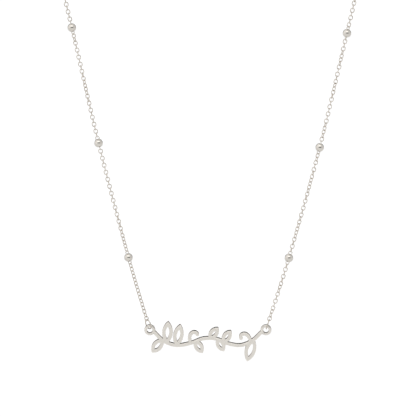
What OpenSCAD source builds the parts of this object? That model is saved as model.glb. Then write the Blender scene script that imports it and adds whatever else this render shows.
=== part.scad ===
// Nameplate necklace: a flat cut-out plate between the two ends of a fine cable
// chain with round beads. The place of the name holds a plain leafy flourish.
// The frame: +Z up, +X to the viewer's right, the plate faces -Y, and the origin
// is the middle of the clasp, where the chain lies on the nape of the neck.

/* [Plate] */
// Distance between the centres of the plate's two end rings
ring_span = 27.4; // [25:0.2:32]
// Outer diameter of each end ring
ring_d = 2.56; // [2.4:0.02:2.8]
// Bore of each end ring
ring_bore = 1.32; // [1.28:0.02:1.4]
// Thickness of the plate
plate_t = 1.0; // [0.8:0.05:1.05]
// Width of the strokes that the plate is cut from
stroke_w = 0.8; // [0.6:0.05:0.9]
// How far the stem of the flourish dips below the ring centres
stem_dip = 3.7; // [3:0.1:4.4]
// Length of each of the two tall leaves, along its middle line
tall_leaf = 4.3; // [3.6:0.1:5]
// Length of the low leaf under the left ring, along its middle line
low_leaf = 3.2; // [2.6:0.1:3.8]
// Length of each small leaf, along its middle line
small_leaf = 2.6; // [2:0.1:3]
// Length of the long hanging leaf, along its middle line
long_leaf = 4.6; // [3.6:0.1:5.4]
// Length of each free curl, along its middle line
curl_len = 4.2; // [3.6:0.1:5]

/* [Jump rings] */
// Outer diameter of the jump ring at each end of the plate
jump_d = 2.6; // [2.5:0.02:2.7]
// Wire of the jump rings
jump_wire = 0.26; // [0.22:0.02:0.28]
// Clearance of a jump ring over the corners of the plate's ring, halved where it turns
jump_gap = 0.16; // [0.14:0.01:0.2]
// Turn of the left jump ring about the chain, from square to the plate
jump_turn_left = 30; // [0:1:32]
// Turn of the right jump ring about the chain, from square to the plate
jump_turn_right = -4; // [-20:1:20]

/* [Chain] */
// Outer width of a link
link_w = 1.06; // [1:0.02:1.3]
// Wire of a link
link_wire = 0.2; // [0.16:0.01:0.22]
// Largest distance from one link's middle to the next
link_pitch = 0.892; // [0.88:0.002:1]
// Clearance between wires that hook into each other
link_gap = 0.1; // [0.1:0.01:0.15]

/* [Beads] */
// Diameter of the round beads
bead_d = 2.0; // [1.8:0.1:2.6]
// How far the middle of a bead's end loop stands off the bead
loop_stand = 0.15; // [0.05:0.01:0.3]
// Distance along the chain from the left ring's centre to the first bead
first_left = 18.15; // [15:0.05:21]
// Distance along the chain from the right ring's centre to the first bead
first_right = 18.15; // [15:0.05:21]
// Distance from the first to the second bead on the left
step_left = 28.4; // [24:0.1:30]
// Distance from the first to the second bead on the right, a link shorter
step_right = 27.55; // [24:0.05:30]
// Distance from the second to the third bead on the left
upper_step_left = 28.25; // [24:0.05:30]
// Distance from the second to the third bead on the right
upper_step_right = 28.0; // [24:0.1:30]

/* [Clasp] */
// Outer diameter of the closed clasp at the nape
clasp_d = 5.5; // [5:0.5:7]
// Thickness of the clasp's round body
clasp_wire = 1.0; // [0.8:0.1:1.2]
// Outer diameter of the clasp's two end loops
clasp_loop_d = 2.2; // [2:0.1:2.6]
// Wire of the clasp's end loops
clasp_loop_wire = 0.45; // [0.4:0.05:0.5]

/* [Hidden] */
$fn = 48;

// Beads on each side of the loop, and how many of them hang on real links;
// past these the chain is a tube of the links' own width.
BEADS = 7;
LINKED_BEADS = 4;
// Share of a bead step that stays free between the last bead and the clasp
CLASP_STEP_SHARE = 0.77;

// The plate hangs this far in front of the nape and this far below it.
PLATE_Y = -82;
PLATE_Z = -130;
// The middle line of the whole loop, from the left end ring over the nape to the
// right end ring: x, and the shares of the two distances above.
ROUTE_ROWS = [
    [-ring_span / 2, 1, 1],
    [-18.7, 1, 0.866],
    [-25.7, 1, 0.654],
    [-31.8, 0.995, 0.446],
    [-37, 0.951, 0.285],
    [-41.6, 0.805, 0.161],
    [-44.4, 0.585, 0.085],
    [-42, 0.341, 0.042],
    [-31, 0.141, 0.015],
    [-15.6, 0.032, 0.002],
    [0, 0, 0],
    [15.6, 0.032, 0.002],
    [31, 0.141, 0.015],
    [42, 0.341, 0.042],
    [44.8, 0.585, 0.085],
    [42.2, 0.805, 0.161],
    [37.8, 0.951, 0.285],
    [32.8, 0.995, 0.446],
    [26.3, 1, 0.6615],
    [19.1, 1, 0.866],
    [ring_span / 2, 1, 1]
];
chain_route = [for (row = ROUTE_ROWS) [row[0], row[1] * PLATE_Y, row[2] * PLATE_Z]];
ROUTE_STEPS = 14;

// Roll of the links about the chain: distance from the end ring, roll in degrees.
// A link is turned by a quarter against its neighbour, and this drift is added.
roll_left = [
    [2.7, 30], [5.3, 45], [22.3, 45], [23.9, 62], [27.3, 78], [31, 90], [45.3, 90],
    [47.4, 180], [54.4, 180], [57.9, 205], [60, 225], [62.2, 250], [64.8, 268],
    [70, 275], [71.5, 295], [73.6, 315], [75.6, 270], [84, 270], [104, 330]
];
roll_right = [
    [2.7, 0], [6.2, 85], [8, 90], [9.8, 112], [11.1, 135], [13, 170], [14.5, 180],
    [16, 185], [17, 210], [19, 331], [24.8, 405], [37.8, 495], [44.6, 585], [46.8, 625],
    [50.2, 675], [52.2, 715], [57, 720], [58.4, 730], [60.6, 765], [62.8, 800],
    [65.5, 812], [67.7, 855], [70, 895], [72.6, 910], [74.8, 945], [76.5, 985],
    [80, 990], [104, 1200]
];

function unit(v) = v / norm(v);

// A smooth curve through a list of points, as one list of closely set points.
function bend(a, b, c, d, t) =
    b + t * (c - a) / 2
    + t * t * (a - 2.5 * b + 2 * c - d / 2)
    + t * t * t * (1.5 * (b - c) + (d - a) / 2);
function before(p) = 2 * p[0] - p[1];
function after(p) = 2 * p[len(p) - 1] - p[len(p) - 2];
function curve(points, steps) =
    let (p = concat([before(points)], points, [after(points)]))
    concat(
        [for (i = [1 : len(points) - 1], k = [0 : steps - 1])
            bend(p[i - 1], p[i], p[i + 1], p[i + 2], k / steps)],
        [points[len(points) - 1]]);
// Distance walked along a list of points, up to each of them
function walked(p) =
    [for (i = 0, d = 0; i < len(p); i = i + 1,
          d = d + (i < len(p) ? norm(p[i] - p[i - 1]) : 0)) d];

loop_line = curve(chain_route, ROUTE_STEPS);
loop_walk = walked(loop_line);
loop_length = loop_walk[len(loop_walk) - 1];
loop_table = [for (axis = [0 : 2])
    [for (i = [0 : len(loop_line) - 1]) [loop_walk[i], loop_line[i][axis]]]];
function loop_point(s) = [for (axis = [0 : 2]) lookup(s, loop_table[axis])];

// A side is -1 for the left strand and 1 for the right one. Distances d along a
// strand start at the centre of its end ring and run up to the nape.
function along(side, d) = side < 0 ? d : loop_length - d;
function spot(side, d) = loop_point(along(side, d));
TANGENT_REACH = 0.4;
function heading(side, d) =
    unit(spot(side, d + TANGENT_REACH) - spot(side, max(d - TANGENT_REACH, 0)));
nape_walk = loop_walk[ROUTE_STEPS * (len(chain_route) - 1) / 2];
function strand_length(side) = side < 0 ? nape_walk : loop_length - nape_walk;

// Sizes of a link, which is a wire bent to two half rings and two straights
link_inner = link_pitch + link_gap;
link_bend_r = (link_w - link_wire) / 2;
link_straight = link_inner + link_wire - 2 * link_bend_r;
// From a link's middle to the middle of its end wire
link_end = (link_inner + link_wire) / 2;

// The plate's ring is square in section, so the jump ring sits on its corners: a
// turned ring crosses the plate's faces beside the middle, where the bore is lower.
jump_r = (jump_d - jump_wire) / 2;
jump_inner_r = jump_r - jump_wire / 2;
corner_x = plate_t / 2 * tan(jump_turn_left);
corner_z = sqrt(pow(ring_bore / 2, 2) - pow(corner_x, 2));
corner_reach = plate_t / 2 / cos(jump_turn_left);
jump_at = corner_z + sqrt(pow(jump_inner_r - jump_gap, 2) - pow(corner_reach, 2));
// Middle of the first link's end wire, which the jump ring and plate swing about
swing_at = jump_at + jump_inner_r - link_gap - link_wire / 2;
first_link = swing_at + link_end;

bead_r = bead_d / 2;
loop_at = bead_r + loop_stand;
clasp_loop_at = (clasp_d + clasp_loop_d) / 2 - clasp_loop_wire;
clasp_reach = clasp_loop_at + clasp_loop_d / 2 + link_gap;

function first_bead(side) = side < 0 ? first_left : first_right;
function second_bead(side) = first_bead(side) + (side < 0 ? step_left : step_right);
function third_bead(side) =
    second_bead(side) + (side < 0 ? upper_step_left : upper_step_right);
function last_step(side) =
    (strand_length(side) - third_bead(side)) / (BEADS - 3 + CLASP_STEP_SHARE);
// Distance of bead number n from the end ring; the hidden ones are spread evenly
function bead_at(side, n) =
    n == 1 ? first_bead(side)
    : n == 2 ? second_bead(side)
    : third_bead(side) + (n - 3) * last_step(side);

function drift(side, d) = lookup(d, side < 0 ? roll_left : roll_right);
// The places of a stretch of links as [distance, roll]: the first and last of
// them are a bead's end loops, apart from the first link on the jump ring.
function stretch(side, from, to) =
    let (count = ceil((to - from) / link_pitch))
    [for (i = [0 : count])
        let (d = from + (to - from) * i / count) [d, 90 * i + drift(side, d)]];
function below(side, n) =
    n == 1
        ? stretch(side, first_link, bead_at(side, 1) - loop_at)
        : stretch(side, bead_at(side, n - 1) + loop_at, bead_at(side, n) - loop_at);

// Turns a shape that stands along +Z to the heading of the strand at distance d
module on_chain(side, d, roll = 0) {
    up = heading(side, d);
    across = unit(cross([0, 1, 0], up));
    deep = cross(up, across);
    at = spot(side, d);
    multmatrix([
        [across[0], deep[0], up[0], at[0]],
        [across[1], deep[1], up[1], at[1]],
        [across[2], deep[2], up[2], at[2]],
        [0, 0, 0, 1]
    ])
        rotate([0, 0, roll]) children();
}

module wire_ring(outer_d, wire) {
    rotate([90, 0, 0])
        rotate_extrude()
            translate([(outer_d - wire) / 2, 0])
                circle(d = wire, $fn = 24);
}

module link() {
    for (end = [0, 1]) {
        mirror([0, 0, end])
            translate([0, 0, link_straight / 2])
                rotate([90, 0, 0])
                    rotate_extrude(angle = 180)
                        translate([link_bend_r, 0])
                            circle(d = link_wire, $fn = 24);
    }
    for (x = [-link_bend_r, link_bend_r]) {
        translate([x, 0, 0])
            cylinder(d = link_wire, h = link_straight, center = true, $fn = 24);
    }
}

// Plate: strokes of one width, as closed outlines that are extruded

function normals(p) =
    [for (i = [0 : len(p) - 1])
        let (d = unit(p[min(i + 1, len(p) - 1)] - p[max(i - 1, 0)])) [-d[1], d[0]]];
CAP_STEPS = 6;
// Outline of a stroke with round ends along an open line of points
function stroke(p) =
    let (
        n = normals(p),
        last = len(p) - 1,
        r = stroke_w / 2,
        turn_end = atan2(n[last][1], n[last][0]),
        turn_start = atan2(n[0][1], n[0][0])
    )
    concat(
        [for (i = [0 : last]) p[i] + r * n[i]],
        [for (k = [1 : CAP_STEPS - 1])
            let (a = turn_end - 180 * k / CAP_STEPS) p[last] + r * [cos(a), sin(a)]],
        [for (i = [last : -1 : 0]) p[i] - r * n[i]],
        [for (k = [1 : CAP_STEPS - 1])
            let (a = turn_start + 180 - 180 * k / CAP_STEPS) p[0] + r * [cos(a), sin(a)]]);

module cut(outline) {
    rotate([90, 0, 0])
        linear_extrude(height = plate_t, center = true) polygon(outline);
}

// The stem waves from ring to ring: shares of the ring span and of its dip
STEM_SHARES = [
    [-0.467, -0.1], [-0.38, -0.72], [-0.27, -1.0], [-0.15, -0.86], [-0.04, -0.56],
    [0.07, -0.58], [0.17, -0.88], [0.28, -1.0], [0.38, -0.7], [0.467, -0.1]
];
STEM_STEPS = 8;
stem_line = curve(
    [for (share = STEM_SHARES) [share[0] * ring_span, share[1] * stem_dip]],
    STEM_STEPS);
function stem_at(u) = stem_line[round(u * (len(stem_line) - 1))];

// A leaf is two arcs of stroke that meet in a point at each end. It grows from
// the stem at share u of its length, with its lower point inside the stroke.
module leaf(u, turn, length, width) {
    arc_r = (length * length + width * width) / (4 * width);
    arc_off = arc_r - width / 2;
    reach = sqrt(pow(arc_r + stroke_w / 2, 2) - pow(arc_off, 2));
    foot = stem_at(u);
    translate([foot[0], 0, foot[1]])
        rotate([0, -turn, 0])
            translate([reach - stroke_w / 3, 0, 0])
                difference() {
                    lens(arc_r + stroke_w / 2, arc_off, plate_t);
                    lens(arc_r - stroke_w / 2, arc_off, 2 * plate_t);
                }
}
module lens(r, off, height) {
    intersection_for (z = [-off, off]) {
        translate([0, 0, z]) rotate([90, 0, 0])
            cylinder(r = r, h = height, center = true, $fn = 96);
    }
}

CURL_STEPS = 24;
// How late a curl turns: 1 is an even bend, more is tighter at the free end
CURL_POWER = 2;
function curl_heading(row, share) = row[1] + row[2] * pow(share, CURL_POWER);
// A curl leaves the stem and turns ever tighter to its free end
module curl(row, length) {
    step = length / CURL_STEPS;
    line = [for (k = 0, p = stem_at(row[0]), a = curl_heading(row, 0);
                 k <= CURL_STEPS;
                 k = k + 1, p = p + step * [cos(a), sin(a)],
                 a = curl_heading(row, k / CURL_STEPS)) p];
    cut(stroke(line));
}

// Leaves: share of the stem, turn from +X, and width as a share of the length
LOW_LEAF = [0.1, -130, 0.5];
TALL_LEAVES = [[0.14, 86, 0.4], [0.225, 80, 0.38]];
SMALL_LEAVES = [[0.37, -58, 0.5], [0.5, 52, 0.5], [0.57, -62, 0.5], [0.63, 56, 0.5]];
LONG_LEAF = [0.9, -106, 0.4];
// Curls: share of the stem, turn from +X at the start, how far it bends
CURLS = [[0.33, 104, -186], [0.88, 106, 205]];

module nameplate() {
    color("silver")
        translate([0, PLATE_Y, PLATE_Z]) difference() {
            union() {
                cut(stroke(stem_line));
                leaf(LOW_LEAF[0], LOW_LEAF[1], low_leaf, LOW_LEAF[2] * low_leaf);
                for (row = TALL_LEAVES) {
                    leaf(row[0], row[1], tall_leaf, row[2] * tall_leaf);
                }
                for (row = SMALL_LEAVES) {
                    leaf(row[0], row[1], small_leaf, row[2] * small_leaf);
                }
                leaf(LONG_LEAF[0], LONG_LEAF[1], long_leaf, LONG_LEAF[2] * long_leaf);
                for (row = CURLS) {
                    curl(row, curl_len);
                }
                for (x = [-ring_span / 2, ring_span / 2]) {
                    translate([x, 0, 0]) rotate([90, 0, 0])
                        cylinder(d = ring_d, h = plate_t, center = true);
                }
            }
            for (x = [-ring_span / 2, ring_span / 2]) {
                translate([x, 0, 0]) rotate([90, 0, 0])
                    cylinder(d = ring_bore, h = 2 * plate_t, center = true);
            }
        }
}

module jump_ring(side) {
    color("silver")
        on_chain(side, jump_at, 90 + (side < 0 ? jump_turn_left : jump_turn_right))
            wire_ring(jump_d, jump_wire);
}

module bead(side, n) {
    low = below(side, n);
    high = n < BEADS ? below(side, n + 1)[0][1] : 0;
    at = bead_at(side, n);
    color("silver") union() {
        on_chain(side, at) rotate([90, 0, 0]) sphere(d = bead_d);
        on_chain(side, at, low[len(low) - 1][1]) translate([0, 0, -loop_at]) link();
        on_chain(side, at, high) translate([0, 0, loop_at]) link();
    }
}

module chain_links(side) {
    color("silver") {
        for (n = [1 : LINKED_BEADS]) {
            spots = below(side, n);
            for (i = [(n == 1 ? 0 : 1) : len(spots) - 2]) {
                on_chain(side, spots[i][0], spots[i][1]) link();
            }
        }
    }
}

TUBE_SIDES = 8;
TUBE_RINGS = 10;
// One closed tube along a strand between two distances
module tube(side, from, to) {
    rings = [for (i = [0 : TUBE_RINGS - 1])
        let (
            d = from + (to - from) * i / (TUBE_RINGS - 1),
            up = heading(side, d),
            across = unit(cross([0, 1, 0], up)),
            deep = cross(up, across)
        )
        [for (k = [0 : TUBE_SIDES - 1])
            spot(side, d) + link_w / 2
                * (cos(360 * k / TUBE_SIDES) * across + sin(360 * k / TUBE_SIDES) * deep)]];
    points = [for (ring = rings, p = ring) p];
    last = TUBE_SIDES * (TUBE_RINGS - 1);
    walls = [for (i = [0 : TUBE_RINGS - 2], k = [0 : TUBE_SIDES - 1])
        let (a = i * TUBE_SIDES + k, b = i * TUBE_SIDES + (k + 1) % TUBE_SIDES)
        [a, a + TUBE_SIDES, b + TUBE_SIDES, b]];
    ends = [
        [for (k = [0 : TUBE_SIDES - 1]) k],
        [for (k = [TUBE_SIDES - 1 : -1 : 0]) last + k]
    ];
    polyhedron(points = points, faces = concat(ends, walls));
}

module chain_tubes(side) {
    clear = loop_at + link_end + link_wire / 2 + link_gap;
    color("silver") {
        for (n = [LINKED_BEADS : BEADS - 1]) {
            tube(side, bead_at(side, n) + clear, bead_at(side, n + 1) - clear);
        }
        tube(side, bead_at(side, BEADS) + clear, strand_length(side) - clasp_reach);
    }
}

module clasp() {
    color("silver") {
        wire_ring(clasp_d, clasp_wire);
        for (x = [-clasp_loop_at, clasp_loop_at]) {
            translate([x, 0, 0]) wire_ring(clasp_loop_d, clasp_loop_wire);
        }
    }
}

function side_name(side) = side < 0 ? "left" : "right";
function part_name(kind, side) = str(kind, "_", side_name(side));
function bead_name(side, n) = str("bead_", side_name(side), "_", n);

nameplate();
clasp();
for (side = [-1, 1]) {
    jump_ring(side);
    chain_links(side);
    chain_tubes(side);
    for (n = [1 : BEADS]) {
        bead(side, n);
    }
}
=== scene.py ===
"""Nameplate necklace: fine links, beads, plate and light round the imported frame."""

import math

import bpy
import numpy as np
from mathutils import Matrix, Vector
from mathutils.geometry import delaunay_2d_cdt


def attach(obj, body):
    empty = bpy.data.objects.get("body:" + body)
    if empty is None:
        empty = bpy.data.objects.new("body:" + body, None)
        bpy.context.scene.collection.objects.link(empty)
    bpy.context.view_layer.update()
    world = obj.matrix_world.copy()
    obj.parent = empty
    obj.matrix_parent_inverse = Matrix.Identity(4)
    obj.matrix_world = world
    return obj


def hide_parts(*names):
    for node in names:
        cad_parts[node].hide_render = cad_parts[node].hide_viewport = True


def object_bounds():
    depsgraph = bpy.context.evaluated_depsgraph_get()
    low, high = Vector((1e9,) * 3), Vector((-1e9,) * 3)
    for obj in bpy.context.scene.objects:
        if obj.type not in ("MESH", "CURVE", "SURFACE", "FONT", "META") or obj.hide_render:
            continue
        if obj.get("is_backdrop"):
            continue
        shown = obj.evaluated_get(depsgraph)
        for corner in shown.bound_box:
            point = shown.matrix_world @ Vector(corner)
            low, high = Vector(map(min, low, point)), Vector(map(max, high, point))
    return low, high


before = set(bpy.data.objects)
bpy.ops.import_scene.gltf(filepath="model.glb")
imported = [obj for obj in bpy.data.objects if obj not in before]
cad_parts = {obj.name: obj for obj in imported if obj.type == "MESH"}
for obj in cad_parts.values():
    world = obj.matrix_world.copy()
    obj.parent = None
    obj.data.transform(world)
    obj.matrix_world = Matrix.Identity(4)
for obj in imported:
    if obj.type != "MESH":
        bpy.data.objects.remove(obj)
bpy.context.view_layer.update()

MM = 0.001
scene = bpy.context.scene
scene.view_settings.view_transform = "Standard"

# Camera, in metres
CAM_ELEVATION = math.radians(12)
CAM_DISTANCE = 2.4
VIEW_WIDTH = 0.0979
SENSOR_WIDTH = 36
CLIP_START = 0.1
CLIP_END = 60
LOOK_AT = Vector((0.00002, -0.082, -0.10064))

camera = bpy.data.objects.new("camera", bpy.data.cameras.new("camera"))
scene.collection.objects.link(camera)
scene.camera = camera
away = Vector((0, -math.cos(CAM_ELEVATION), math.sin(CAM_ELEVATION)))
camera.location = LOOK_AT + away * CAM_DISTANCE
camera.rotation_mode = "QUATERNION"
camera.rotation_quaternion = (-away).to_track_quat("-Z", "Y")
camera.data.sensor_width = SENSOR_WIDTH
camera.data.lens = SENSOR_WIDTH * CAM_DISTANCE / VIEW_WIDTH
camera.data.clip_start = CLIP_START
camera.data.clip_end = CLIP_END

# Sizes in mm, the same as in the solids but for the link pitch, which leaves no gaps
RING_SPAN = 27.4
RING_D = 2.56
RING_BORE = 1.32
PLATE_T = 1.0
JUMP_D = 2.6
JUMP_WIRE = 0.26
# Turn of the jump rings from square to the plate, left (-1) and right (1)
JUMP_TURN = {-1: 30, 1: -4}
LINK_W = 1.06
LINK_WIRE = 0.2
LINK_PITCH = 0.875
BEAD_D = 2.0
LOOP_STAND = 0.15
# Places of the beads along the strand, from the plate's ring up
FIRST_BEAD = 18.15
STEPS = {-1: (28.4, 28.25), 1: (27.55, 28.0)}
BEADS = 7
VISIBLE_BEADS = 3
# The stretch from the last bead to the nape, as a share of the one below it
CLASP_STEP_SHARE = 0.77
# From the nape to where the last link crosses the clasp's end loop
CLASP_REACH = 4.39

# Play between linked wires, where the solids keep 0.1 mm
SLACK = 0.006
# Play of the jump rings, which leaves room to swing in the first links
JUMP_SLACK = 0.05

PLATE_Y, PLATE_Z = -82, -130
# The chain's way round from left to right: x in mm, y and z as shares of the plate's
ROUTE = [
    (-RING_SPAN / 2, 1, 1),
    (-18.7, 1, 0.866),
    (-25.7, 1, 0.654),
    (-31.8, 0.995, 0.446),
    (-37, 0.951, 0.285),
    (-41.6, 0.805, 0.161),
    (-44.4, 0.585, 0.085),
    (-42, 0.341, 0.042),
    (-31, 0.141, 0.015),
    (-15.6, 0.032, 0.002),
    (0, 0, 0),
    (15.6, 0.032, 0.002),
    (31, 0.141, 0.015),
    (42, 0.341, 0.042),
    (44.8, 0.585, 0.085),
    (42.2, 0.805, 0.161),
    (37.8, 0.951, 0.285),
    (32.8, 0.995, 0.446),
    (26.3, 1, 0.6615),
    (19.1, 1, 0.866),
    (RING_SPAN / 2, 1, 1),
]
ROUTE_STEPS = 14
TANGENT_REACH = 0.4
# How far the chain has twisted, in degrees, at distances in mm from the plate's ring
DRIFT = {
    -1: (
        (2.7, 5.3, 22.3, 23.9, 27.3, 31, 45.3, 47.4, 54.4, 57.9)
        + (60, 62.2, 64.8, 70, 71.5, 73.6, 75.6, 84, 104),
        (30, 45, 45, 62, 78, 90, 90, 180, 180, 205)
        + (225, 250, 268, 275, 295, 315, 270, 270, 330),
    ),
    1: (
        (2.7, 6.2, 8, 9.8, 11.1, 13, 14.5, 16, 17, 19, 24.8, 37.8, 44.6, 46.8, 50.2)
        + (52.2, 57, 58.4, 60.6, 62.8, 65.5, 67.7, 70, 72.6, 74.8, 76.5, 80, 104),
        (0, 85, 90, 112, 135, 170, 180, 185, 210, 331, 405, 495, 585, 625, 675)
        + (715, 720, 730, 765, 800, 812, 855, 895, 910, 945, 985, 990, 1200),
    ),
}


def curve(points, steps):
    """A smooth line through the points, with steps to each stretch."""
    p = [np.array(v, float) for v in points]
    p = [2 * p[0] - p[1]] + p + [2 * p[-1] - p[-2]]
    out = []
    for i in range(1, len(p) - 2):
        a, b, c, d = p[i - 1 : i + 3]
        for k in range(steps):
            t = k / steps
            out.append(
                b
                + t * (c - a) / 2
                + t * t * (a - 2.5 * b + 2 * c - d / 2)
                + t**3 * (1.5 * (b - c) + (d - a) / 2)
            )
    out.append(p[-2])
    return np.array(out)


LINE = curve([(x, y * PLATE_Y, z * PLATE_Z) for x, y, z in ROUTE], ROUTE_STEPS)
WALK = np.concatenate([[0], np.cumsum(np.linalg.norm(np.diff(LINE, axis=0), axis=1))])
LOOP_LENGTH = WALK[-1]
NAPE_WALK = WALK[ROUTE_STEPS * (len(ROUTE) - 1) // 2]


def spot(side, d):
    """The point at distance d along a strand."""
    s = d if side < 0 else LOOP_LENGTH - d
    return np.array([np.interp(s, WALK, LINE[:, k]) for k in range(3)])


def axes(side, d):
    """Axes at distance d, with Z along the strand away from the plate."""
    up = spot(side, d + TANGENT_REACH) - spot(side, max(d - TANGENT_REACH, 0))
    up /= np.linalg.norm(up)
    across = np.cross([0, 1, 0], up)
    across /= np.linalg.norm(across)
    return np.stack([across, np.cross(up, across), up], axis=1)


def turned(side, d, roll):
    """Axes rolled about the strand, and the point they stand at."""
    a = math.radians(roll)
    spin = np.array(
        [[math.cos(a), -math.sin(a), 0], [math.sin(a), math.cos(a), 0], [0, 0, 1]]
    )
    return axes(side, d) @ spin, spot(side, d)


def drift(side, d):
    """The chain's twist at distance d."""
    return float(np.interp(d, *DRIFT[side]))


# Lengths of the strands, and how the rings sit in one another
strand = {-1: NAPE_WALK, 1: LOOP_LENGTH - NAPE_WALK}
loop_at = BEAD_D / 2 + LOOP_STAND
jump_r = (JUMP_D - JUMP_WIRE) / 2
jump_inner_r = jump_r - JUMP_WIRE / 2
corner_x = PLATE_T / 2 * math.tan(math.radians(JUMP_TURN[-1]))
corner_z = math.sqrt((RING_BORE / 2) ** 2 - corner_x**2)
corner_reach = PLATE_T / 2 / math.cos(math.radians(JUMP_TURN[-1]))
jump_at = corner_z + math.sqrt((jump_inner_r - JUMP_SLACK) ** 2 - corner_reach**2)
first_link = jump_at + jump_inner_r - JUMP_SLACK + LINK_PITCH / 2


def bead_at(side, n):
    """Distance of bead n; the hidden ones are spread evenly."""
    if n <= VISIBLE_BEADS:
        return FIRST_BEAD + sum(STEPS[side][: n - 1])
    last = bead_at(side, VISIBLE_BEADS)
    step = (strand[side] - last) / (BEADS - VISIBLE_BEADS + CLASP_STEP_SHARE)
    return last + (n - VISIBLE_BEADS) * step


def stretch(side, start, end):
    """Distance and roll of each link of a stretch, both ends included."""
    count = round((end - start) / LINK_PITCH)
    places = [start + (end - start) * i / count for i in range(count + 1)]
    return [(d, 90 * i + drift(side, d)) for i, d in enumerate(places)]


def below(side, n):
    """The stretch that ends at bead n's lower loop."""
    start = first_link if n == 1 else bead_at(side, n - 1) + loop_at
    return stretch(side, start, bead_at(side, n) - loop_at)


def to_clasp(side):
    """Links from the last bead to the clasp's end loop, which the last one crosses."""
    spots = stretch(side, bead_at(side, BEADS) + loop_at, strand[side] - CLASP_REACH)
    count = len(spots) - 1
    ease = (90 - 90 * count) % 180
    return [(d, 90 * i + ease * i / count) for i, (d, _) in enumerate(spots)]


def add_mesh(name, verts, faces, body, slot, material, replaces):
    """A piece of the part, made from points in mm."""
    mesh = bpy.data.meshes.new(name)
    mesh.from_pydata(np.asarray(verts) * MM, [], faces)
    mesh.update()
    mesh.shade_smooth()
    obj = bpy.data.objects.new(name, mesh)
    scene.collection.objects.link(obj)
    mesh.materials.append(material)
    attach(obj, body)
    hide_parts(*replaces)
    return obj


def grid_faces(rows, cols):
    """Quads of a closed tube: rows round the loop, cols round the wire."""
    out = []
    for i in range(rows):
        for k in range(cols):
            a, b = i * cols + k, i * cols + (k + 1) % cols
            c, d = ((i + 1) % rows) * cols + k, ((i + 1) % rows) * cols + (k + 1) % cols
            out.append((a, b, d, c))
    return out


def wire_loop(line, normals, wire, sides):
    """A closed wire along a flat loop in the XZ plane."""
    verts = []
    for p, n in zip(line, normals):
        for k in range(sides):
            a = 2 * math.pi * k / sides
            side = np.array([n[0] * math.cos(a), math.sin(a), n[1] * math.cos(a)])
            verts.append(np.array([p[0], 0, p[1]]) + wire / 2 * side)
    return np.array(verts), grid_faces(len(line), sides)


def oval(inner, width, wire, arc_steps, straight_steps, sides):
    """An oval link whose hole is inner long."""
    r = (width - wire) / 2
    half = (inner + wire - 2 * r) / 2
    line, normals = [], []
    for end in (1, -1):
        for k in range(arc_steps):
            a = math.pi * k / arc_steps + (0 if end > 0 else math.pi)
            n = (math.cos(a), math.sin(a))
            line.append((r * n[0], end * half + r * n[1]))
            normals.append(n)
        for k in range(straight_steps):
            z = end * half * (1 - 2 * k / straight_steps)
            line.append((-end * r, z))
            normals.append((-end, 0))
    return wire_loop(line, normals, wire, sides)


def ring(outer, wire, steps, sides):
    """A round wire ring."""
    r = (outer - wire) / 2
    turns = [2 * math.pi * k / steps for k in range(steps)]
    normals = [(math.cos(a), math.sin(a)) for a in turns]
    return wire_loop([(r * x, r * z) for x, z in normals], normals, wire, sides)


def ball(radius, steps, rows):
    """A round bead with its poles along the chain."""
    verts = [(0, 0, radius), (0, 0, -radius)]
    for i in range(1, rows):
        b = math.pi * i / rows
        for k in range(steps):
            a = 2 * math.pi * k / steps
            verts.append(
                (
                    radius * math.sin(b) * math.cos(a),
                    radius * math.sin(b) * math.sin(a),
                    radius * math.cos(b),
                )
            )
    faces = []
    for k in range(steps):
        n = (k + 1) % steps
        faces.append((0, 2 + k, 2 + n))
        last = 2 + (rows - 2) * steps
        faces.append((1, last + n, last + k))
        for i in range(rows - 2):
            a = 2 + i * steps
            faces.append((a + k, a + steps + k, a + steps + n, a + n))
    return np.array(verts), faces


def gather(shapes):
    """Joins (verts, faces) lists into one."""
    verts, faces, base = [], [], 0
    for v, f in shapes:
        verts.append(v)
        faces += [tuple(i + base for i in face) for face in f]
        base += len(v)
    return np.concatenate(verts), faces


def placed(shape, turn, at):
    """A shape turned and moved to its place."""
    return shape[0] @ turn.T + at, shape[1]


def shader_of(name):
    """A new material, its node tree and its main shader."""
    mat = bpy.data.materials.new(name)
    mat.use_nodes = True
    tree = mat.node_tree
    return mat, tree, tree.nodes["Principled BSDF"]


# Where the cloudiness passes from the deep tone to the base tone, its finer detail,
# how much finer the rub marks are, and how deep they are in metres
CLOUD_FROM, CLOUD_TO = 0.3, 0.7
CLOUD_DETAIL = 4
RUB_SCALE = 9
RUB_DETAIL = 3
RUB_DEPTH = 0.00002
# Share of the plate's normal that points forward or back, from a wall to a face, and
# how much of the tone a wall keeps under the painted shade on the walls
WALL_NORMAL, FACE_NORMAL = 0.2, 0.8
SHADED_WALL_SHARE = 0.5


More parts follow.
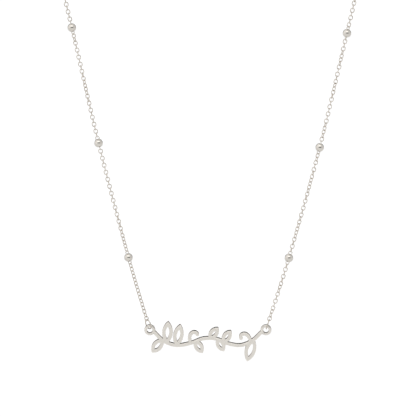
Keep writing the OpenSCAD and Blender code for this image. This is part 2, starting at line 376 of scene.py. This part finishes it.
def silver(name, base, deep, rough, rough_spread, bump, grain, rim):
    """Polished silver: faint cloudiness in tone, and fine rub marks in the gloss.

    Rim is how much of each colour stays where it is seen at a glancing angle."""
    mat, tree, bsdf = shader_of(name)
    new, link = tree.nodes.new, tree.links.new
    bsdf.inputs["Metallic"].default_value = 1.0
    bsdf.inputs["Specular Tint"].default_value = (*rim, 1)
    coords = new("ShaderNodeTexCoord")
    cloud = new("ShaderNodeTexNoise")
    cloud.inputs["Scale"].default_value = grain
    cloud.inputs["Detail"].default_value = CLOUD_DETAIL
    link(coords.outputs["Object"], cloud.inputs["Vector"])
    tone = new("ShaderNodeValToRGB")
    tone.color_ramp.elements[0].position = CLOUD_FROM
    tone.color_ramp.elements[1].position = CLOUD_TO
    tone.color_ramp.elements[0].color = (*deep, 1)
    tone.color_ramp.elements[1].color = (*base, 1)
    link(cloud.outputs["Fac"], tone.inputs["Fac"])
    link(tone.outputs["Color"], bsdf.inputs["Base Color"])
    rub = new("ShaderNodeTexNoise")
    rub.inputs["Scale"].default_value = grain * RUB_SCALE
    rub.inputs["Detail"].default_value = RUB_DETAIL
    link(coords.outputs["Object"], rub.inputs["Vector"])
    gloss = new("ShaderNodeMapRange")
    gloss.inputs["To Min"].default_value = rough - rough_spread
    gloss.inputs["To Max"].default_value = rough + rough_spread
    link(rub.outputs["Fac"], gloss.inputs["Value"])
    link(gloss.outputs["Result"], bsdf.inputs["Roughness"])
    relief = new("ShaderNodeBump")
    relief.inputs["Strength"].default_value = bump
    relief.inputs["Distance"].default_value = RUB_DEPTH
    link(rub.outputs["Fac"], relief.inputs["Height"])
    link(relief.outputs["Normal"], bsdf.inputs["Normal"])
    return mat


def paint_wall_shade(mat, share):
    """Painted shade: the plate's walls get a darker base colour than its faces, standing
    in for the dark they reflect.
    """
    tree = mat.node_tree
    new, link = tree.nodes.new, tree.links.new
    bsdf = tree.nodes["Principled BSDF"]
    coords = new("ShaderNodeTexCoord")
    parts = new("ShaderNodeSeparateXYZ")
    link(coords.outputs["Normal"], parts.inputs[0])
    flat = new("ShaderNodeMath")
    flat.operation = "ABSOLUTE"
    link(parts.outputs["Y"], flat.inputs[0])
    face = new("ShaderNodeMapRange")
    face.interpolation_type = "SMOOTHSTEP"
    face.inputs["From Min"].default_value = WALL_NORMAL
    face.inputs["From Max"].default_value = FACE_NORMAL
    face.inputs["To Min"].default_value = share
    link(flat.outputs[0], face.inputs["Value"])
    shade = new("ShaderNodeVectorMath")
    shade.operation = "SCALE"
    link(bsdf.inputs["Base Color"].links[0].from_socket, shade.inputs[0])
    link(face.outputs["Result"], shade.inputs["Scale"])
    link(shade.outputs["Vector"], bsdf.inputs["Base Color"])


plate_silver = silver(
    "plate_silver",
    base=(0.95, 0.91, 0.842),
    deep=(0.92, 0.88, 0.81),
    rough=0.12,
    rough_spread=0.03,
    bump=0.2,
    grain=260,
    rim=(0.35, 0.28, 0.25),
)
# Painted shade: darkens the base colour of the plate's walls against its faces
paint_wall_shade(plate_silver, SHADED_WALL_SHARE)
bead_silver = silver(
    "bead_silver",
    base=(0.86, 0.818, 0.755),
    deep=(0.82, 0.778, 0.715),
    rough=0.08,
    rough_spread=0.03,
    bump=0.15,
    grain=500,
    rim=(0.4, 0.4, 0.4),
)
# The links' silver has a darker, warmer base than the plate's: painted shade for the shade
# among the interlocked links
shaded_link_silver = silver(
    "shaded_link_silver",
    base=(0.78, 0.725, 0.65),
    deep=(0.67, 0.61, 0.54),
    rough=0.2,
    rough_spread=0.05,
    bump=0.2,
    grain=900,
    rim=(1, 1, 1),
)

# Steps round each shape, and sides of its wire
LINK_ARC_STEPS = 12
LINK_STRAIGHT_STEPS = 3
LINK_SIDES = 10
BALL_STEPS, BALL_ROWS = 64, 40
JUMP_STEPS, JUMP_SIDES = 56, 16


def link_for(spots):
    """A link whose hole is as long as this stretch's own pitch, so neighbours touch."""
    pitch = spots[1][0] - spots[0][0]
    steps = (LINK_ARC_STEPS, LINK_STRAIGHT_STEPS, LINK_SIDES)
    return oval(pitch + SLACK, LINK_W, LINK_WIRE, *steps)


one_ball = ball(BEAD_D / 2, BALL_STEPS, BALL_ROWS)
one_jump = ring(JUMP_D, JUMP_WIRE, JUMP_STEPS, JUMP_SIDES)

for side, word in ((-1, "left"), (1, "right")):
    runs = [below(side, n) for n in range(1, BEADS + 1)] + [to_clasp(side)]
    links = []
    for n, spots in enumerate(runs):
        free = spots[(0 if n == 0 else 1) : (None if n == BEADS else -1)]
        links += [placed(link_for(spots), *turned(side, *s)) for s in free]
    add_mesh(
        "chain_" + word,
        *gather(links),
        "chain",
        "chain",
        shaded_link_silver,
        replaces=("chain_links_" + word, "chain_tubes_" + word),
    )

    for n in range(1, BEADS + 1):
        low, high = runs[n - 1], runs[n]
        add_mesh(
            f"round_bead_{word}_{n}",
            *gather(
                [
                    placed(one_ball, *turned(side, bead_at(side, n), 0)),
                    placed(link_for(low), *turned(side, *low[-1])),
                    placed(link_for(high), *turned(side, *high[0])),
                ]
            ),
            "chain",
            "beads",
            bead_silver,
            replaces=(f"bead_{word}_{n}",),
        )

    turn, at = turned(side, jump_at, 90 + JUMP_TURN[side])
    add_mesh(
        "plate_link_" + word,
        *placed(one_jump, turn, at),
        "plate",
        "chain",
        shaded_link_silver,
        replaces=("jump_ring_" + word,),
    )

# Rounded edges of the plate's strokes, of its end rings outside and in their holes,
# the width over which strokes pass into rings, and the steps round an edge
EDGE_R = 0.05
RING_EDGE_R = 0.25
BORE_EDGE_R = 0.16
RING_BLEND = 0.25
EDGE_STEPS = 5
# Depth within which a point counts as on the front face, and decimals to match points
FRONT_DEPTH = 0.01
MATCH_DECIMALS = 4
# Outlines keep points this far apart, and those with no more points than this are specks
LEAST_STEP = 0.03
SPECK_POINTS = 5
FLAT_TOLERANCE = 1e-6
# The least that a sharp corner's inward direction is divided by
MITRE_LIMIT = 0.35
# Edges sharper than this, in degrees, are drawn as corners
SHARP_ANGLE = 38


def front_outlines(obj):
    """Closed outlines of the plate's flat front, in mm, with the metal to their left."""
    mesh = obj.data
    co = np.empty(len(mesh.vertices) * 3)
    mesh.vertices.foreach_get("co", co)
    co = co.reshape(-1, 3) / MM
    front = co[:, 1].min()
    edges = set()
    for poly in mesh.polygons:
        ids = list(poly.vertices)
        if max(co[i][1] for i in ids) < front + FRONT_DEPTH:
            keys = [tuple(round(co[i][k], MATCH_DECIMALS) for k in (0, 2)) for i in ids]
            edges |= set(zip(keys, keys[1:] + keys[:1]))
    onward = {}
    for a, b in edges:
        if (b, a) not in edges and a != b:
            onward.setdefault(a, []).append(b)
    loops = []
    while onward:
        start = min(onward)
        loop, here = [], start
        while here in onward:
            loop.append(here)
            ahead = onward[here]
            nxt = ahead.pop(0)
            if not ahead:
                del onward[here]
            here = nxt
        loops.append(np.array(loop))
    return loops, front


def thinned(loop, least):
    """The outline without points that crowd together, its corners kept."""
    out = [loop[0]]
    for p in loop[1:]:
        if np.linalg.norm(p - out[-1]) >= least:
            out.append(p)
    if np.linalg.norm(out[0] - out[-1]) < least:
        out.pop()
    return np.array(out)


def inward(loop):
    """Directions into the metal at each point, longer where the outline turns."""
    ahead = np.roll(loop, -1, axis=0) - loop
    ahead /= np.linalg.norm(ahead, axis=1)[:, None]
    n2 = np.stack([-ahead[:, 1], ahead[:, 0]], axis=1)
    n1 = np.roll(n2, 1, axis=0)
    dot = (n1 * n2).sum(axis=1)
    return (n1 + n2) / np.maximum(1 + dot, MITRE_LIMIT)[:, None]


def inside(points, edges):
    """Whether each point lies in the metal: a ray to the right crosses an odd count."""
    (ax, ay), (bx, by) = edges[:, 0].T, edges[:, 1].T
    out = []
    for x, y in points:
        hit = (ay > y) != (by > y)
        cross = ax[hit] + (y - ay[hit]) / (by[hit] - ay[hit]) * (bx[hit] - ax[hit])
        out.append(np.count_nonzero(cross > x) % 2 == 1)
    return out


def edge_radius(loop):
    """The strokes are cut crisply, and the end rings are rounded over."""
    centres = np.array([(-RING_SPAN / 2, PLATE_Z), (RING_SPAN / 2, PLATE_Z)])
    off = np.linalg.norm(loop[:, None] - centres, axis=2).min(axis=1)
    share = np.clip((RING_D / 2 + RING_BLEND - off) / RING_BLEND, 0, 1)
    radius = EDGE_R + (RING_EDGE_R - EDGE_R) * share
    radius[off < (RING_D + RING_BORE) / 4] = BORE_EDGE_R
    return radius


def plate_mesh(obj):
    """The plate rebuilt from its outlines, with rounded edges."""
    loops, front = front_outlines(obj)
    loops = [thinned(loop, LEAST_STEP) for loop in loops if len(loop) > SPECK_POINTS]
    back = front + PLATE_T
    steps = [math.pi / 2 * k / EDGE_STEPS for k in range(EDGE_STEPS + 1)]
    profile = [(1 - math.cos(a), 1 - math.sin(a)) for a in steps]
    rings = [(i, front, y) for i, y in reversed(profile)]
    rings += [(i, back, -y) for i, y in profile]
    verts, faces = [], []
    flat, edges = [], []
    front_ids, back_ids = [], []
    for loop in loops:
        radius = edge_radius(loop)
        normal = inward(loop) * radius[:, None]
        size = len(loop)
        base = len(verts)
        for inset, face, y in rings:
            moved = loop + normal * inset
            verts += [(x, face + y * r, z) for (x, z), r in zip(moved, radius)]
        for r in range(len(rings) - 1):
            for k in range(size):
                a, b = base + r * size + k, base + r * size + (k + 1) % size
                faces.append((a, a + size, b + size, b))
        first = len(flat)
        flat += [Vector(p) for p in loop + normal * rings[0][0]]
        edges += [(first + k, first + (k + 1) % size) for k in range(size)]
        front_ids += [base + k for k in range(size)]
        back_ids += [base + (len(rings) - 1) * size + k for k in range(size)]
    filled = delaunay_2d_cdt(flat, edges, [], 0, FLAT_TOLERANCE)
    points, _, tris, origin, _, _ = filled
    middles = np.array([sum((points[i] for i in tri), Vector((0, 0))) / 3 for tri in tris])
    ends = np.array([[flat[a], flat[b]] for a, b in edges])
    for tri, within in zip(tris, inside(middles, ends)):
        if within and all(origin[i] for i in tri):
            ids = [origin[i][0] for i in tri]
            faces.append(tuple(front_ids[i] for i in ids))
            faces.append(tuple(back_ids[i] for i in reversed(ids)))
    return verts, faces


verts, faces = plate_mesh(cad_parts["nameplate"])
plate = add_mesh("plate", verts, faces, "plate", "plate", plate_silver, ("nameplate",))
plate.data.set_sharp_from_angle(angle=math.radians(SHARP_ANGLE))

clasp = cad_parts["clasp"]
clasp.data.materials.clear()
clasp.data.materials.append(shaded_link_silver)

# Floor, in metres
FLOOR_Z = -0.44
FLOOR_HALF = 2.4
FLOOR_TONE = 0.94
FLOOR_ROUGHNESS = 0.6
FLOOR_SHINE = 0.1

floor_mat, _, floor_bsdf = shader_of("floor_white")
floor_bsdf.inputs["Base Color"].default_value = (FLOOR_TONE, FLOOR_TONE, FLOOR_TONE, 1)
floor_bsdf.inputs["Roughness"].default_value = FLOOR_ROUGHNESS
floor_bsdf.inputs["Specular IOR Level"].default_value = FLOOR_SHINE
floor_mesh = bpy.data.meshes.new("floor")
corners = [(-1, -1), (1, -1), (1, 1), (-1, 1)]
floor_mesh.from_pydata(
    [(x * FLOOR_HALF, y * FLOOR_HALF, FLOOR_Z) for x, y in corners], [], [(0, 1, 2, 3)]
)
floor_mesh.materials.append(floor_mat)
floor = bpy.data.objects.new("floor", floor_mesh)
scene.collection.objects.link(floor)
floor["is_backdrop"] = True


# Light from all round, and the patches in it, later ones over earlier ones: azimuth (0
# is the camera's side, 90 the right), elevation, half width, half height, softness of
# the edge, brightness
EVEN = 0.88
PATCHES = [
    (90, 20, 60, 60, 0.6, 0.66),
    (180, 14, 46, 10, 0.1, 0.02),
    (6, 13.5, 38, 9.5, 0.1, 0.0),
    (0, 58, 32, 13, 0.15, 1.4),
]
# The power that squares off a patch's oval, and how near a right angle from its middle
# it fades out
PATCH_POWER = 4
PATCH_FADE = 0.5


def sky():
    """A soft studio by direction: even light, a lamp above the camera, and dark gaps
    above the horizon behind the camera and behind the object."""
    world = bpy.data.worlds.new("studio")
    scene.world = world
    world.use_nodes = True
    tree = world.node_tree
    new, link = tree.nodes.new, tree.links.new
    coords = new("ShaderNodeTexCoord")
    ground = tree.nodes["Background"]

    def number(value):
        node = new("ShaderNodeValue")
        node.outputs[0].default_value = value
        return node.outputs[0]

    def patch(below, azimuth, elevation, wide, high, soft, value):
        """Lays an oval patch of light over what is below it."""
        a, e = math.radians(azimuth), math.radians(elevation)
        middle = Vector(
            (math.sin(a) * math.cos(e), -math.cos(a) * math.cos(e), math.sin(e))
        )
        right = Vector((math.cos(a), math.sin(a), 0))
        top = right.cross(-middle) * -1
        parts = []
        for axis, size in ((right, wide), (top, high)):
            dot = new("ShaderNodeVectorMath")
            dot.operation = "DOT_PRODUCT"
            dot.inputs[1].default_value = axis
            link(coords.outputs["Generated"], dot.inputs[0])
            scaled = new("ShaderNodeMath")
            scaled.operation = "DIVIDE"
            scaled.inputs[1].default_value = math.sin(math.radians(size))
            link(dot.outputs["Value"], scaled.inputs[0])
            power = new("ShaderNodeMath")
            power.operation = "POWER"
            power.inputs[1].default_value = PATCH_POWER
            bare = new("ShaderNodeMath")
            bare.operation = "ABSOLUTE"
            link(scaled.outputs[0], bare.inputs[0])
            link(bare.outputs[0], power.inputs[0])
            parts.append(power.outputs[0])
        total = new("ShaderNodeMath")
        total.operation = "ADD"
        link(parts[0], total.inputs[0])
        link(parts[1], total.inputs[1])
        facing = new("ShaderNodeVectorMath")
        facing.operation = "DOT_PRODUCT"
        facing.inputs[1].default_value = middle
        link(coords.outputs["Generated"], facing.inputs[0])
        front = new("ShaderNodeMapRange")
        front.interpolation_type = "SMOOTHSTEP"
        front.inputs["From Max"].default_value = PATCH_FADE
        link(facing.outputs["Value"], front.inputs["Value"])
        edge = new("ShaderNodeMapRange")
        edge.interpolation_type = "SMOOTHSTEP"
        edge.inputs["From Min"].default_value = (1 + soft) ** PATCH_POWER
        edge.inputs["From Max"].default_value = (1 - soft) ** PATCH_POWER
        link(total.outputs[0], edge.inputs["Value"])
        share = new("ShaderNodeMath")
        share.operation = "MULTIPLY"
        link(edge.outputs["Result"], share.inputs[0])
        link(front.outputs["Result"], share.inputs[1])
        mix = new("ShaderNodeMix")
        mix.data_type = "FLOAT"
        mix.inputs["B"].default_value = value
        link(share.outputs[0], mix.inputs["Factor"])
        link(below, mix.inputs["A"])
        return mix.outputs["Result"]

    light = number(EVEN)
    for row in PATCHES:
        light = patch(light, *row)
    link(light, ground.inputs["Color"])
    ground.inputs["Strength"].default_value = 1.0


sky()

# A spot lamp from behind and above that whitens the floor seen past the object
REAR_AT = (0, 1.6, 2.4)
REAR_WATTS = 118
REAR_CONE = math.radians(40)
REAR_BLEND = 0.6
REAR_SOFTNESS = 0.1

rear = bpy.data.objects.new("rear_light", bpy.data.lights.new("rear_light", "SPOT"))
scene.collection.objects.link(rear)
rear.location = REAR_AT
rear.data.energy = REAR_WATTS
rear.data.spot_size = REAR_CONE
rear.data.spot_blend = REAR_BLEND
rear.data.shadow_soft_size = REAR_SOFTNESS

low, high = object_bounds()
